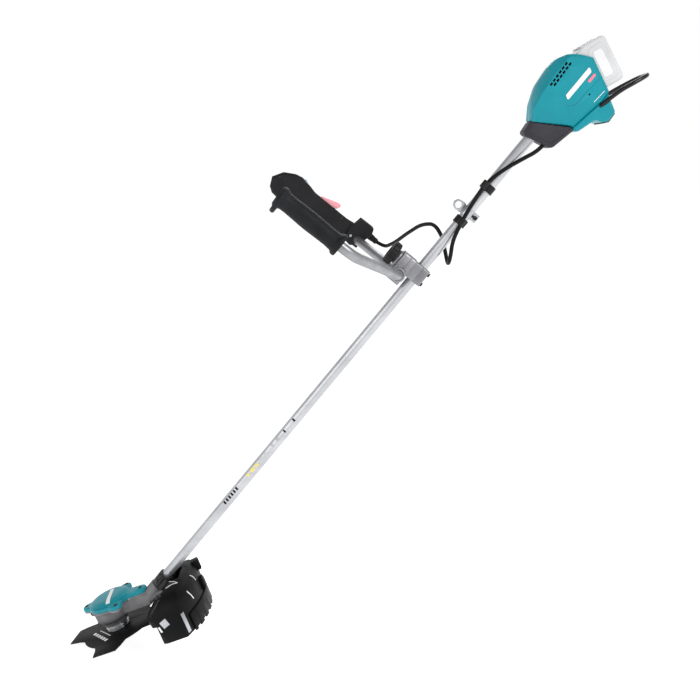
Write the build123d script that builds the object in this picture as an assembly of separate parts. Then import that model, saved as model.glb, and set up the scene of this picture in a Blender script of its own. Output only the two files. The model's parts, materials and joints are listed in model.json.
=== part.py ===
from build123d import *
import os
from math import atan2, cos, degrees, hypot, pi, radians, sin, tan

# Battery brush cutter with a U handle, in millimetres.
#
# The pieces are drawn in a shaft frame: X along the main pipe towards the battery, Y to the
# user's right, Z towards the handle side, origin on the pipe's axis under the handle clamp.
# The cutter head is drawn in a frame of its own on the spindle, X rearwards in the blade's
# plane and Z up the spindle. One last move tilts everything to the carried position and puts
# the origin at the centre of the harness eye, with +Z up and +X towards the rear.

# ---------------------------------------------------------------- driving dimensions
CLEAR = 0.05            # radial gap of pieces that are clamped or run on each other
GAP = 0.3               # gap between pieces of different bodies
EPS = 0.2               # gap at a split line

SHAFT_RISE = 50.9       # angle of the carried pipe to the ground, degrees
PIPE_R, PIPE_WALL = 12.0, 1.5
PIPE_FRONT, PIPE_REAR = -1012.0, 470.0
LEAD_R = 3.0            # motor lead inside the pipe

EYE_X, EYE_Z, EYE_R = 173.0, 27.0, 7.0
EYE_PLATE = 4.0         # thickness of the harness eye plate

HUB = (-1118.0, 0.0, 9.0)       # blade centre in the shaft frame
BLADE_TILT = 30.3               # blade plane to the pipe, degrees
BLADE_R, BLADE_T, BLADE_BORE = 127.5, 2.0, 12.7
BLADE_TURN = 219.8              # rest angle of the blade's long axis in the head frame
CAP_X = 8.0                     # the cap's centre lies behind the spindle
CAP_R = 51.0
EAR_R, EAR_PCR = 8.5, 61.0
FLANGE_Z, CAP_Z, CAP_TOP = 60.0, 65.0, 84.5
SPINDLE_R = 5.0
SOCKET_R = 18.0          # pipe socket of the motor case

GUARD_TOP, GUARD_LOW = 78.0, -30.0
GUARD_PAD = 46.0                # the bracket's foot stands on the guard at this height
GUARD_R, GUARD_WALL = 226.0, 3.0
GUARD_HALF = 118.0              # half width of the guard

BAR_R, BAR_WALL = 11.1, 1.8
BAR_X, BAR_Z = -28.0, 34.0      # bar axis at the clamp, in front of the knob's screw
ELBOW = (-42.0, 240.0, 150.0)
KNOB_Z, KNOB_R, KNOB_T = 63.0, 28.0, 17.0
CLAMP_X, CLAMP_Y = 20.0, 25.0   # half lengths of the clamp blocks
CLAMP_TOP, SADDLE_TOP = 20.0, 52.0
SADDLE_FRONT, SADDLE_SCREW = -48.0, (-43.0, 14.0)

GRIP_LOW, GRIP_HIGH, GRIP_R = 182.0, 337.0, 18.5
HANDLE_Y = 240.0                # mid plane of the trigger handle
HANDLE_HALF = 17.0

CABLE_R = 4.5
HOUSING_HALF, HOUSING_WALL, HOUSING_BEVEL = 44.5, 3.0, 7.0
BATTERY_HALF = 38.5
SLIDE = (0.36, 0.0, 0.933)      # the battery slides up along this
BATTERY_CORNER = (626.0, 26.0)  # its rear top corner in X, Z
BATTERY_LONG, BATTERY_THICK = 100.0, 68.0

HEAD = Pos(*HUB) * Rot(0, BLADE_TILT, 0)
nodes = {}


# ---------------------------------------------------------------- helpers
def block(x, y, z):
    """Box between two limits on each axis."""
    return Pos((x[0] + x[1]) / 2, (y[0] + y[1]) / 2, (z[0] + z[1]) / 2) * Box(
        x[1] - x[0], y[1] - y[0], z[1] - z[0])


def rod(a, b, r):
    """Cylinder of radius r from point a to point b."""
    a, b = Vector(*a), Vector(*b)
    plane = Plane(origin=a, z_dir=(b - a).normalized())
    return extrude(plane * Circle(r), amount=(b - a).length)


def standing(x, y, r, z0, z1):
    """Upright cylinder between two heights."""
    return Pos(x, y, (z0 + z1) / 2) * Cylinder(r, z1 - z0)


def flat_face(outline, y):
    """Face of X, Z points at one Y."""
    return make_face(Polyline(*[(x, y, z) for x, z in outline], close=True))


def prism(outline, y0, y1):
    """Outline of X, Z points pushed along Y."""
    return extrude(flat_face(outline, y0), amount=y1 - y0, dir=(0, 1, 0))


def slab(outline, z0, z1):
    """Outline of X, Y points pushed along Z."""
    face = make_face(Polyline(*[(x, y, z0) for x, y in outline], close=True))
    return extrude(face, amount=z1 - z0, dir=(0, 0, 1))


def turned(profile):
    """Profile of radius, height points turned about Z."""
    return revolve(make_face(Polyline(*[(r, 0, z) for r, z in profile], close=True)), Axis.Z)


def ring(r_out, r_in, z0, z1):
    return turned([(r_in, z0), (r_out, z0), (r_out, z1), (r_in, z1)])


def group(pieces):
    """Separate solids kept as one node."""
    return Compound([solid for piece in pieces for solid in piece.solids()])


def screw(at, direction, length, r, head_r, head_h):
    """Socket screw: its head stands on point at, and its shank runs along direction."""
    d = Vector(*direction).normalized()
    a = Vector(*at)
    head = rod(a - d * head_h, a, head_r)
    key = rod(a - d * head_h, a - d * head_h * 0.4, head_r * 0.5)
    return head - key + rod(a, a + d * length, r)


def arc_radii(points):
    """Largest tangent arc that the two runs beside each inner point allow."""
    radii = []
    for a, b, c in zip(points, points[1:], points[2:]):
        u, v = Vector(*b) - Vector(*a), Vector(*c) - Vector(*b)
        radii.append(0.45 * min(u.length, v.length) / tan(radians(u.get_angle(v)) / 2))
    return radii


def pipe_along(points, radii, r, bore=0.0):
    """Round rod or tube swept along straight runs joined by tangent arcs."""
    path = FilletPolyline(*points, radius=radii)
    section = Circle(r) - Circle(bore) if bore else Circle(r)
    plane = Plane(origin=path @ 0, z_dir=path % 0)
    return sweep(plane * section, path)


# ---------------------------------------------------------------- main pipe
def main_pipe():
    return rod((PIPE_FRONT, 0, 0), (PIPE_REAR, 0, 0), PIPE_R) - rod(
        (PIPE_FRONT, 0, 0), (PIPE_REAR, 0, 0), PIPE_R - PIPE_WALL)


def lead_spacers():
    bore = PIPE_R - PIPE_WALL - CLEAR
    pieces = []
    for x in (-880, -560, -240, 80, 380):
        pieces.append(rod((x, 0, 0), (x + 24, 0, 0), bore) - rod(
            (x, 0, 0), (x + 24, 0, 0), LEAD_R + CLEAR))
    return group(pieces)


nodes["main_pipe"] = main_pipe()
nodes["lead_spacers"] = lead_spacers()
nodes["motor_lead"] = rod((-1004, 0, 0), (476, 0, 0), LEAD_R)


# ---------------------------------------------------------------- cutter head
EARS = [(CAP_X + EAR_PCR * cos(radians(a)), EAR_PCR * sin(radians(a))) for a in (60, 180, 300)]
LOBE_SCREW = (88.0, 0.0)
BEARING_LOW, BEARING_TOP = (16.0, 23.0), (66.0, 72.0)


def head_plan(z0, z1):
    """Outline that the case flange and the cap share: a disc, three ears and the rear lobe."""
    body = standing(CAP_X, 0, CAP_R, z0, z1)
    for i, (x, y) in enumerate(EARS):
        body += standing(x, y, EAR_R, z0, z1)
        body += Pos(CAP_X, 0, 0) * Rot(0, 0, 60 + 120 * i) * block((40, EAR_PCR), (-EAR_R, EAR_R), (z0, z1))
    return body + block((20, 86), (-17, 17), (z0, z1)) + standing(86, 0, 17, z0, z1)


def motor_case():
    body = turned([(0, 15), (29, 15), (30, 19), (40, 35), (40.5, 55), (47, FLANGE_Z), (0, FLANGE_Z)])
    body += head_plan(FLANGE_Z, CAP_Z)
    body += block((30, 103), (-18, 18), (33, FLANGE_Z))
    body = HEAD * body
    body += rod((-1026, 0, 0), (-970, 0, 0), SOCKET_R)
    body += block((-1010, -985), (-10, 10), (-27, 0))
    cavity = turned([(0, 24), (36.3, 24), (36.3, CAP_Z), (0, CAP_Z)])
    cavity += ring(11 + CLEAR, 0, BEARING_LOW[0], 24)
    cavity += ring(7.5, 0, 15, BEARING_LOW[0])
    cavity += block((30, 96), (-7, 7), (40, 54))
    cavity += block((28, 48), (-3, -1), (17, 19))
    for x, y in EARS + [LOBE_SCREW]:
        cavity += standing(x, y, 2.1, 60, 66)
    body -= HEAD * cavity
    body -= rod((PIPE_FRONT - 0.5, 0, 0), (-960, 0, 0), PIPE_R + CLEAR)
    body -= block((-1014, -960), (-1, 1), (-30, 0))
    for x in (-1003, -992):
        body -= rod((x, -12, -20), (x, 12, -20), 2.1)
    return body


def motor_cap():
    dome = Pos(CAP_X, 0, 0) * turned(
        [(0, CAP_Z + EPS), (CAP_R, CAP_Z + EPS), (CAP_R, 70), (47, 77), (40, 82), (31, CAP_TOP), (0, CAP_TOP)])
    body = dome + head_plan(CAP_Z + EPS, 75)
    hollow = Pos(CAP_X, 0, 0) * turned([(0, 60), (46, 60), (46, 69), (42, 75), (36, 79), (28, 81.5), (0, 81.5)])
    body -= hollow
    body += turned([(0, CAP_Z + EPS), (13, CAP_Z + EPS), (13, 82), (0, 82)])
    body -= ring(9.5 + CLEAR, 0, 60, BEARING_TOP[1])
    body -= ring(6.5, 0, 70, 80)
    for x, y in EARS + [LOBE_SCREW]:
        body -= standing(x, y, 2.1, 63, 77)
        body -= standing(x, y, 5.0, 73, 79)
    return HEAD * body - rod((-1030, 0, 0), (-960, 0, 0), SOCKET_R + 0.4)


def head_screws():
    cap = HEAD * group([screw((x, y, 73), (0, 0, -1), 11, 2.0, 4.2, 3.6) for x, y in EARS + [LOBE_SCREW]])
    return group([cap] + [screw((x, -10.05, -20), (0, 1, 0), 19, 2.0, 4.2, 4.0) for x in (-1003, -992)])


def stator_core():
    body = ring(36.2, 30, 32, 56)
    for i in range(12):
        body += Rot(0, 0, 30 * i) * block((23.3, 31), (-2.2, 2.2), (32, 56))
        body += Rot(0, 0, 30 * i) * (ring(25.2, 23.3, 32, 56) & block((20, 27), (-4.6, 4.6), (32, 56)))
    return HEAD * body


def stator_coils():
    coil = block((25.6, 29.6), (-4.2, 4.2), (28, 60)) - block((25, 30), (-2.3, 2.3), (31.9, 56.1))
    return HEAD * group([Rot(0, 0, 30 * i) * coil for i in range(12)])


def rotor_core():
    return HEAD * ring(19.6, SPINDLE_R + 0.02, 33, 55)


def rotor_magnets():
    magnet = ring(22.6, 19.7, 33, 55) & block((15, 24), (-9, 9), (33, 55))
    return HEAD * group([Rot(0, 0, 60 * i) * magnet for i in range(6)])


def spindle_bearings():
    pieces = []
    for (z0, z1), r in ((BEARING_LOW, 11.0), (BEARING_TOP, 9.5)):
        pieces.append(turned([(SPINDLE_R + CLEAR, z0), (r - 1, z0), (r, z0 + 1), (r, z1 - 1), (r - 1, z1),
                              (SPINDLE_R + CLEAR, z1)]))
    return HEAD * group(pieces)


def spindle():
    shaft = turned([(0, -17), (4, -17), (SPINDLE_R, -16), (SPINDLE_R, 74), (4, 75), (0, 75)])
    return HEAD * (shaft - Pos(0, 0, 19) * Rot(0, 90, 0) * Cylinder(1.5, 12))


def receiver_washer():
    """Ribbed driving flange above the blade; its boss centres the blade's bore."""
    profile = [(SPINDLE_R + 0.02, -1.2), (BLADE_BORE - CLEAR, -1.2), (BLADE_BORE - CLEAR, 1.05), (27, 1.05),
               (27, 4), (24.5, 5), (24.5, 6.2), (28, 7.2), (28, 9.2), (25.5, 10.2), (25.5, 11.2),
               (27, 12), (27, 14), (7, 14), (7, 15.6), (SPINDLE_R + 0.02, 15.6)]
    return HEAD * (turned(profile) - block((15, 30), (-3, -1), (0, 16)))


def polar(r, a):
    return (r * cos(radians(a)), r * sin(radians(a)), 0)


def blade():
    """Flat four tooth blade: two swallow tail ends on a round body."""
    end = [(92.5, -76), (112, -67.5), (BLADE_R, -61.5), (BLADE_R, -36), (100, -30), (87, -23)]
    edges = []
    for turn in (0, 180):
        side = [polar(r, a + turn) for r, a in end]
        other = [polar(r, turn - a) for r, a in reversed(end)]
        edges.append(Polyline(*side))
        edges.append(ThreePointArc(side[-1], polar(85.5, turn), other[0]))
        edges.append(Polyline(*other))
        edges.append(ThreePointArc(other[-1], polar(92.5, turn + 90), polar(92.5, turn + 104)))
    face = make_face([edge for run in edges for edge in run.edges()]) - Circle(BLADE_BORE)
    plate = Pos(0, 0, -BLADE_T / 2) * extrude(face, amount=BLADE_T, dir=(0, 0, 1))
    for turn in (90, 270):
        plate -= Rot(0, 0, turn) * Pos(20, 0, 0) * Cylinder(2.5, 8)
    return HEAD * Rot(0, 0, BLADE_TURN) * plate


def clamp_washer():
    return HEAD * ring(24, SPINDLE_R + 0.02, -4.0, -1.25)


def blade_cup():
    profile = [(SPINDLE_R + 0.02, -6), (22, -6), (17.5, -16), (19.5, -16), (26, -6), (26, -4.05),
               (SPINDLE_R + 0.02, -4.05)]
    return HEAD * turned(profile)


def blade_nut():
    hexagon = extrude(RegularPolygon(9.8, 6), amount=7.5) + standing(0, 0, 12.5, 6.2, 7.5)
    return HEAD * Pos(0, 0, -13.6) * (hexagon - Cylinder(SPINDLE_R + 0.02, 40))


for make in (motor_case, motor_cap, head_screws, stator_core, stator_coils, rotor_core,
             rotor_magnets, spindle_bearings, spindle, receiver_washer, blade, clamp_washer, blade_cup,
             blade_nut):
    nodes[make.__name__] = make()


# ---------------------------------------------------------------- guard
def guard_form(inset):
    """Filled outer form of the guard, or its inner form when inset is the wall's thickness."""
    r, half, top, low = GUARD_R - inset, GUARD_HALF - inset, GUARD_TOP - inset, GUARD_LOW - inset
    front = 104 + 4 * (inset > 0)
    plan = [(front, 62), (front + 4, 84 - inset), (122 + inset, 110 - inset), (144, half), (240, half)]
    plan = slab([(x, -y) for x, y in plan] + [(x, y) for x, y in reversed(plan)], low, top)
    section = turned([(0, low), (r, low), (r, 38), (r - 4, 58), (r - 14, 72 - inset), (r - 32, top), (0, top)])
    half_roof = [(half, low), (half, -8), (115 - inset, 24), (104 - inset, 52 - inset), (84, 70 - inset), (56, top)]
    roof = flat_face([(-y, z) for y, z in half_roof] + [(y, z) for y, z in reversed(half_roof)], 0)
    roof = Rot(0, 0, 90) * extrude(roof, amount=300, dir=(0, -1, 0))
    channel = block((0, 194 + inset), (-30 - inset, 30 + inset), (GUARD_PAD - inset, 200))
    return (plan & section & roof) - channel


def guard_shell():
    shell = guard_form(0) - guard_form(GUARD_WALL)
    shell -= block((80, 142), (-22, 22), (30, 60))
    shell -= block((80, 133), (-130, 130), (GUARD_LOW - 5, 14))
    for x in (152, 180):
        for y in (-20, 20):
            shell -= standing(x, y, 2.6, 38, 50)
    return HEAD * shell


def guard_extension():
    """Clip-on skirt outside the rim, its lower edge stepped."""
    body = ring(GUARD_R + 3.2, GUARD_R + EPS, -34, 10)
    wedge = slab([(0, 0), polar(300, -24)[:2], polar(300, 0)[:2], polar(300, 31)[:2]], -40, 20)
    body = body & wedge
    for a in (-20, -12, -4, 4, 12, 20, 27):
        body -= Rot(0, 0, a) * block((200, 260), (-7, 7), (-36, -29))
    return HEAD * body


def guard_clips():
    """Two ribbed latches on the rim, the lower one over the skirt's edge."""
    pieces = []
    for a, z0, z1, r in ((18, 44, 70, 207), (5, 12, 42, 220)):
        clip = block((r, GUARD_R + 7), (-11, 11), (z0, z1))
        for i in range(4):
            clip += block((GUARD_R + 7, GUARD_R + 8.5), (-10, 10), (z0 + 3 + 6 * i, z0 + 6 + 6 * i))
        pieces.append(Rot(0, 0, a) * clip - guard_form(-EPS))
    return HEAD * group(pieces)


def guard_bracket():
    """Lower half of the guard's pipe clamp with its foot on the guard's top."""
    body = HEAD * (block((143, 190), (-27, 27), (GUARD_PAD + 0.1, 51)) + block(
        (146, 178), (-15, 15), (50, 80)) + block((158, 164), (-25, 25), (50, 60)))
    body += block((-964, -936), (-24.5, 24.5), (-17, 0))
    body = body & block((-1000, -900), (-40, 40), (-90, -EPS))
    body -= rod((-1000, 0, 0), (-850, 0, 0), PIPE_R + CLEAR)
    for x, y in [(x, y) for x in (-957, -943) for y in (-19.5, 19.5)]:
        body -= Pos(x, y, -8) * Cylinder(2.1, 20)
    holes = [Pos(x, y, 48) * Cylinder(2.6, 12) for x in (152, 180) for y in (-20, 20)]
    return body - HEAD * group(holes)


def guard_bracket_cap():
    body = block((-964, -936), (-24.5, 24.5), (EPS, 8)) + (rod((-964, 0, 0), (-936, 0, 0), 17) & block(
        (-970, -930), (-20, 20), (EPS, 20)))
    body -= rod((-1000, 0, 0), (-850, 0, 0), PIPE_R + CLEAR)
    for x, y in [(x, y) for x in (-957, -943) for y in (-19.5, 19.5)]:
        body -= Pos(x, y, 6) * Cylinder(2.1, 20)
    return body


def guard_bolts():
    pieces = [screw((x, y, 8.1), (0, 0, -1), 18, 2.0, 3.8, 3.5) for x in (-957, -943) for y in (-19.5, 19.5)]
    pieces += (HEAD * group([screw((x, y, 51.1), (0, 0, -1), 10, 2.5, 4.5, 3.5)
                             for x in (152, 180) for y in (-20, 20)])).solids()
    return group(pieces)


def cord_cutter():
    """Small steel blade riveted on the near side of the guard, for a nylon cord head."""
    r = GUARD_R + 0.2
    strip = ring(r + 1.6, r, -24, 26) & slab([(0, 0), polar(300, -30)[:2], polar(300, -27.5)[:2]], -30, 30)
    return HEAD * strip


for make in (guard_shell, guard_extension, guard_clips, guard_bracket, guard_bracket_cap, guard_bolts,
             cord_cutter):
    nodes[make.__name__] = make()


# ---------------------------------------------------------------- harness eye
BAND_X = (163.0, 183.0)


def hanger_plate():
    plate = prism([(162, 10), (184, 10), (186, 27), (182, 36), (173, 40), (164, 36), (160, 27)],
                  -EYE_PLATE / 2, EYE_PLATE / 2)
    plate -= rod((EYE_X, -9, EYE_Z), (EYE_X, 9, EYE_Z), EYE_R)
    return plate - rod((150, 0, 0), (200, 0, 0), 14.65)


def hanger_band():
    x0, x1 = BAND_X
    band = rod((x0, 0, 0), (x1, 0, 0), 14.6) + block(BAND_X, (-5, 5), (-26, -10))
    band -= rod((150, 0, 0), (200, 0, 0), PIPE_R + CLEAR)
    band -= block((150, 200), (-1.5, 1.5), (-30, 0))
    return band - rod((EYE_X, -9, -20), (EYE_X, 9, -20), 2.6)


def hanger_screw():
    return screw((EYE_X, -5.05, -20), (0, 1, 0), 14, 2.5, 4.5, 4) + (
        rod((EYE_X, 5.1, -20), (EYE_X, 8.6, -20), 4.4))


for make in (hanger_plate, hanger_band, hanger_screw):
    nodes[make.__name__] = make()


# ---------------------------------------------------------------- handle clamp and bar
CLAMP_BOLTS = [(x, y) for x in (-13, 13) for y in (-18.5, 18.5)]


def clamp_block(z0, z1):
    body = block((-CLAMP_X, CLAMP_X), (-CLAMP_Y, CLAMP_Y), (z0, z1))
    return fillet(body.edges().filter_by(Axis.Z), 4)


def pipe_clamp_lower():
    body = clamp_block(-18, -EPS) - rod((-60, 0, 0), (60, 0, 0), PIPE_R + CLEAR)
    for x, y in CLAMP_BOLTS:
        body -= standing(x, y, 2.6, -24, 6)
    return body


def pipe_clamp_upper():
    body = clamp_block(EPS, CLAMP_TOP) - rod((-60, 0, 0), (60, 0, 0), PIPE_R + CLEAR)
    for x, y in CLAMP_BOLTS:
        body -= standing(x, y, 2.6, -2, 14)
    return body - standing(0, 0, 4.3, 4, 24)


def clamp_bolts():
    return group([screw((x, y, -18.1), (0, 0, 1), 31, 2.5, 4.5, 4) for x, y in CLAMP_BOLTS])


def handle_block(z0, z1):
    """Block round the bar and the knob's screw, its standing edges rounded."""
    body = block((SADDLE_FRONT, CLAMP_X + 2), (-CLAMP_Y, CLAMP_Y), (z0, z1))
    body = fillet(body.edges().filter_by(Axis.Z), 8)
    body -= rod((BAR_X, -60, BAR_Z), (BAR_X, 60, BAR_Z), BAR_R + CLEAR)
    for y in (-SADDLE_SCREW[1], SADDLE_SCREW[1]):
        body -= standing(SADDLE_SCREW[0], y, 2.1, 26, 60)
    return body - standing(0, 0, 4.3, 0, 60)


def handle_saddle():
    """Turns on the pipe clamp about the knob's screw, and carries the bar."""
    return handle_block(CLAMP_TOP + GAP, BAR_Z - EPS)


def handle_clamp_cap():
    return handle_block(BAR_Z + EPS, SADDLE_TOP)


def saddle_screws():
    x, y = SADDLE_SCREW
    return group([screw((x, side, SADDLE_TOP + 0.1), (0, 0, -1), 26, 2.0, 4.0, 3.5) for side in (-y, y)])


def clamp_knob():
    """Lobed knob with its screw, which runs past the bar into the pipe clamp."""
    wheel = fillet(standing(0, 0, KNOB_R, KNOB_Z, KNOB_Z + KNOB_T).edges(), 4)
    for i in range(10):
        wheel -= Rot(0, 0, 36 * i) * standing(KNOB_R + 2.5, 0, 5, KNOB_Z - 2, KNOB_Z + KNOB_T + 2)
    wheel -= standing(0, 0, 14, KNOB_Z + KNOB_T - 2, KNOB_Z + KNOB_T + 2)
    return wheel + standing(0, 0, 12, SADDLE_TOP + GAP, KNOB_Z + 1) + standing(0, 0, 4.0, 13, KNOB_Z)


def bar_run(points, radii, bore):
    return pipe_along(points, radii, BAR_R if bore else BAR_R + CLEAR, bore)


def handlebar():
    x, y, z = ELBOW
    points = [(x, -y, GRIP_HIGH - 4), (x, -y, z), (BAR_X, -40, BAR_Z), (BAR_X, 40, BAR_Z), (x, y, z), (x, y, 205)]
    return bar_run(points, [42, 48, 48, 42], BAR_R - BAR_WALL)


def left_grip():
    """Rubber grip with a raised collar at each end, the upper one longer at the front."""
    x, y, _ = ELBOW
    high = GRIP_HIGH - GRIP_LOW
    profile = [(0, 0), (23, 0), (24.5, 3), (24, 8), (19.5, 14), (GRIP_R, 30), (20, high / 2),
               (GRIP_R, high - 30), (19, high - 18), (23, high - 10), (22.5, high - 3), (19, high), (0, high)]
    body = turned(profile) + fillet(standing(-7, 0, 27, high - 14, high - 4).edges(), 4)
    return Pos(x, -y, GRIP_LOW) * (body - standing(0, 0, BAR_R + CLEAR, -1, high - 3.8))


for make in (pipe_clamp_lower, pipe_clamp_upper, clamp_bolts, handle_saddle, handle_clamp_cap, saddle_screws,
             clamp_knob, handlebar, left_grip):
    nodes[make.__name__] = make()


# ---------------------------------------------------------------- trigger handle
TRIGGER_PIVOT = (-52.0, 286.0)
LOCK_PIVOT = (-20.0, 268.0)
HANDLE_OUTLINE = [(-83, 372), (-74, 385), (-52, 395), (-27, 380), (-12, 354), (-8, 336), (-13, 306), (-17, 290),
                  (-17, 190), (-14, 168), (7, 164), (7, 126), (-58, 126), (-60, 168), (-65, 190), (-65, 292),
                  (-80, 312), (-86, 340)]


HANDLE_SCREWS = [(-4, 145), (-24, 200), (-66, 330), (-40, 378)]
BAR_ROOM = bar_run([(BAR_X, 40, BAR_Z), ELBOW, (*ELBOW[:2], 206)], [42], 0)


def handle_form(inset):
    y0, y1 = HANDLE_Y - HANDLE_HALF + inset, HANDLE_Y + HANDLE_HALF - inset
    face = flat_face(HANDLE_OUTLINE, y0)
    if inset:
        face = offset(face, -inset, kind=Kind.INTERSECTION)
    return extrude(face, amount=y1 - y0, dir=(0, 1, 0))


def trigger_housing(side):
    """One half of the trigger handle, split along its mid plane."""
    outer = handle_form(0)
    corners = outer.edges().group_by(Axis.Y)[0] + outer.edges().group_by(Axis.Y)[-1]
    body = chamfer(corners, 5) - handle_form(3)
    x, _, z = ELBOW
    sleeve = rod((x, HANDLE_Y, 126), (x, HANDLE_Y, 205), BAR_R + 2.5)
    body += sleeve & handle_form(0)
    y0, y1 = (HANDLE_Y - 30, HANDLE_Y - 0.05) if side < 0 else (HANDLE_Y + 0.05, HANDLE_Y + 30)
    body = body & block((-100, 40), (y0, y1), (100, 420))
    body -= BAR_ROOM
    body -= block((-100, -55), (HANDLE_Y - 9, HANDLE_Y + 9), (222, 299))
    body -= block((-23, 10), (HANDLE_Y - 6, HANDLE_Y + 6), (216, 276))
    body -= rod((-16, HANDLE_Y, 325), (0, HANDLE_Y, 321), 5.4)
    body -= rod((-15, HANDLE_Y, 110), (-15, HANDLE_Y, 140), 6.1)
    bores = [(at, 1.6, 30) for at in HANDLE_SCREWS] + [(TRIGGER_PIVOT, 2.0 + CLEAR, 13.6),
                                                      (LOCK_PIVOT, 1.5 + CLEAR, 13.6)]
    for (bx, bz), r, half in bores:
        body -= rod((bx, HANDLE_Y - half, bz), (bx, HANDLE_Y + half, bz), r)
    return body


def handle_screws():
    y = HANDLE_Y - HANDLE_HALF
    return group([screw((sx, y - 0.05, sz), (0, 1, 0), 26, 1.5, 3.2, 2.0) for sx, sz in HANDLE_SCREWS])


def trigger():
    """Curved finger lever on a pin at its top."""
    px, pz = TRIGGER_PIVOT
    face = prism([(px - 8, pz + 6), (px + 4, pz + 6), (px + 4, pz - 22), (-60, 232), (-68, 228), (-78, 232),
                  (-83, 246), (-77, 262), (-74, 276)], HANDLE_Y - 8, HANDLE_Y + 8)
    return face - rod((px, 200, pz), (px, 280, pz), 2.0 + CLEAR)


def lever_pins():
    pieces = []
    for (px, pz), r in ((TRIGGER_PIVOT, 2.0), (LOCK_PIVOT, 1.5)):
        pieces.append(rod((px, HANDLE_Y - 13.5, pz), (px, HANDLE_Y + 13.5, pz), r))
    return group(pieces)


def lock_off_lever():
    px, pz = LOCK_PIVOT
    lever = prism([(px - 3, pz + 4), (px + 6, pz + 4), (-1, 232), (0, 222), (-5, 219), (-15, 224), (px - 1, 248)],
                  HANDLE_Y - 5.5, HANDLE_Y + 5.5)
    return lever - rod((px, 200, pz), (px, 280, pz), 1.5 + CLEAR)


def trigger_switch():
    body = block((-46, -26), (HANDLE_Y - 10, HANDLE_Y + 10), (212, 252))
    return body + block((-48.5, -46), (HANDLE_Y - 4, HANDLE_Y + 4), (228, 244))


def power_button():
    """Round push button in the rear of the handle's head."""
    return rod((-14, HANDLE_Y, 324.5), (-6.6, HANDLE_Y, 322.6), 5.0)


def cable_strain_relief():
    body = rod((-15, HANDLE_Y, 122), (-15, HANDLE_Y, 139), 6.0)
    body += Pos(-15, HANDLE_Y, 107) * Cone(6.2, 8.6, 18)
    body += Pos(-15, HANDLE_Y, 118) * Cylinder(8.6, 8)
    return body


nodes["trigger_housing_left"] = trigger_housing(-1)
nodes["trigger_housing_right"] = trigger_housing(1)
for make in (handle_screws, trigger, lever_pins, lock_off_lever, trigger_switch, power_button,
             cable_strain_relief):
    nodes[make.__name__] = make()


# ---------------------------------------------------------------- control cable and clips
CLIPS = {"cable_clip_rear": (240, -20, 13), "cable_clip_front": (148, -20, 0)}
CABLE_POINTS = [(386, -15, -31), (361, -18, -27), (334, -21, -15), (288, -20, 3), (240, -20, 13), (190, -20, 7),
                (148, -20, 0), (104, -20, -12), (72, -16, -33), (57, 4, -42), (72, 27, -26), (98, 45, 4),
                (108, 65, 34), (88, 100, 52), (50, 145, 60), (15, 190, 64), (-9, 226, 72), (-15, 240, 92),
                (-15, 240, 112)]


def cable_run(r):
    return pipe_along(CABLE_POINTS, arc_radii(CABLE_POINTS), r)


def cable_clip(at):
    x, y, z = at
    a, b = (x - 9, 0, 0), (x + 9, 0, 0)
    reach = hypot(y, z)
    tilt = degrees(atan2(-z, -y))
    bridge = Rot(tilt, 0, 0) * block((x - 9, x + 9), (-reach, -8), (-4, 4))
    body = rod(a, b, 15) + rod((x - 9, y, z), (x + 9, y, z), CABLE_R + 3) + bridge
    body -= rod((x - 12, 0, 0), (x + 12, 0, 0), PIPE_R + CLEAR)
    return body - CABLE_ROOM


CABLE_ROOM = cable_run(CABLE_R + 2 * CLEAR)
nodes["control_cable"] = cable_run(CABLE_R)
nodes["cable_strain_relief"] -= CABLE_ROOM
for name, at in CLIPS.items():
    nodes[name] = cable_clip(at)


# ---------------------------------------------------------------- rear housing
HOUSING_OUTLINE = [(401, 33), (430, 54), (463, 65.5), (505, 68.5), (532, 66), (550, 55), (566, 32), (576, 11),
                   (547, -61), (522, -62), (446, -51)]
COVER_OUTLINE = [(446.2, -51.6), (439.5, -57.5), (446, -66), (488, -78), (493, -93), (502, -101), (526, -100),
                 (536, -78), (545, -61.7), (522, -62.6)]
HOUSING_SCREWS = [(428, 33, 30), (500, 55, 36), (470, -42, 36)]     # X, Z and depth of the head's seat
LOOP_R = 4.6
BOOT_OUTLINE = [(369, 29), (400.4, 32.8), (445.4, -51.2), (439, -57), (386, -47)]
SHELL_PLAN = [(370, -25), (405, -33), (440, -41), (470, -HOUSING_HALF), (600, -HOUSING_HALF),
              (600, HOUSING_HALF), (470, HOUSING_HALF), (440, 41), (405, 33), (370, 25)]


def bevelled(outline, half, bevel, inset=0.0):
    """Outline pushed to both sides, its rims bevelled, or the inner form of such a shell."""
    core = flat_face(outline, -(half - bevel))
    if inset:
        core = offset(core, -inset, kind=Kind.INTERSECTION)
    rim = Pos(0, -(bevel - inset), 0) * offset(core, -(bevel - inset), kind=Kind.INTERSECTION)
    side = loft([rim, core])
    return extrude(core, amount=2 * (half - bevel), dir=(0, 1, 0)) + side + mirror(side, Plane.XZ)


def housing_form(inset):
    plan = make_face(Polyline(*[(x, y, -130) for x, y in SHELL_PLAN], close=True))
    if inset:
        plan = offset(plan, -inset, kind=Kind.INTERSECTION)
    return bevelled(HOUSING_OUTLINE, HOUSING_HALF, HOUSING_BEVEL, inset) & extrude(
        plan, amount=220, dir=(0, 0, 1))


def along_battery(up, back, y):
    """Point on the battery's axes: up along the slide, back from its front face."""
    x = BATTERY_CORNER[0] - BATTERY_THICK * SLIDE[2] + back * SLIDE[2] + up * SLIDE[0]
    z = BATTERY_CORNER[1] + BATTERY_THICK * SLIDE[0] - back * SLIDE[0] + up * SLIDE[2]
    return (x, y, z)


def battery_block(up, back, y):
    """Box between limits along the slide, back from the battery's front face, and across."""
    corners = [along_battery(u, b, 0) for u, b in ((up[0], back[0]), (up[1], back[0]), (up[1], back[1]),
                                                  (up[0], back[1]))]
    return prism([(x, z) for x, _, z in corners], y[0], y[1])


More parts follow.
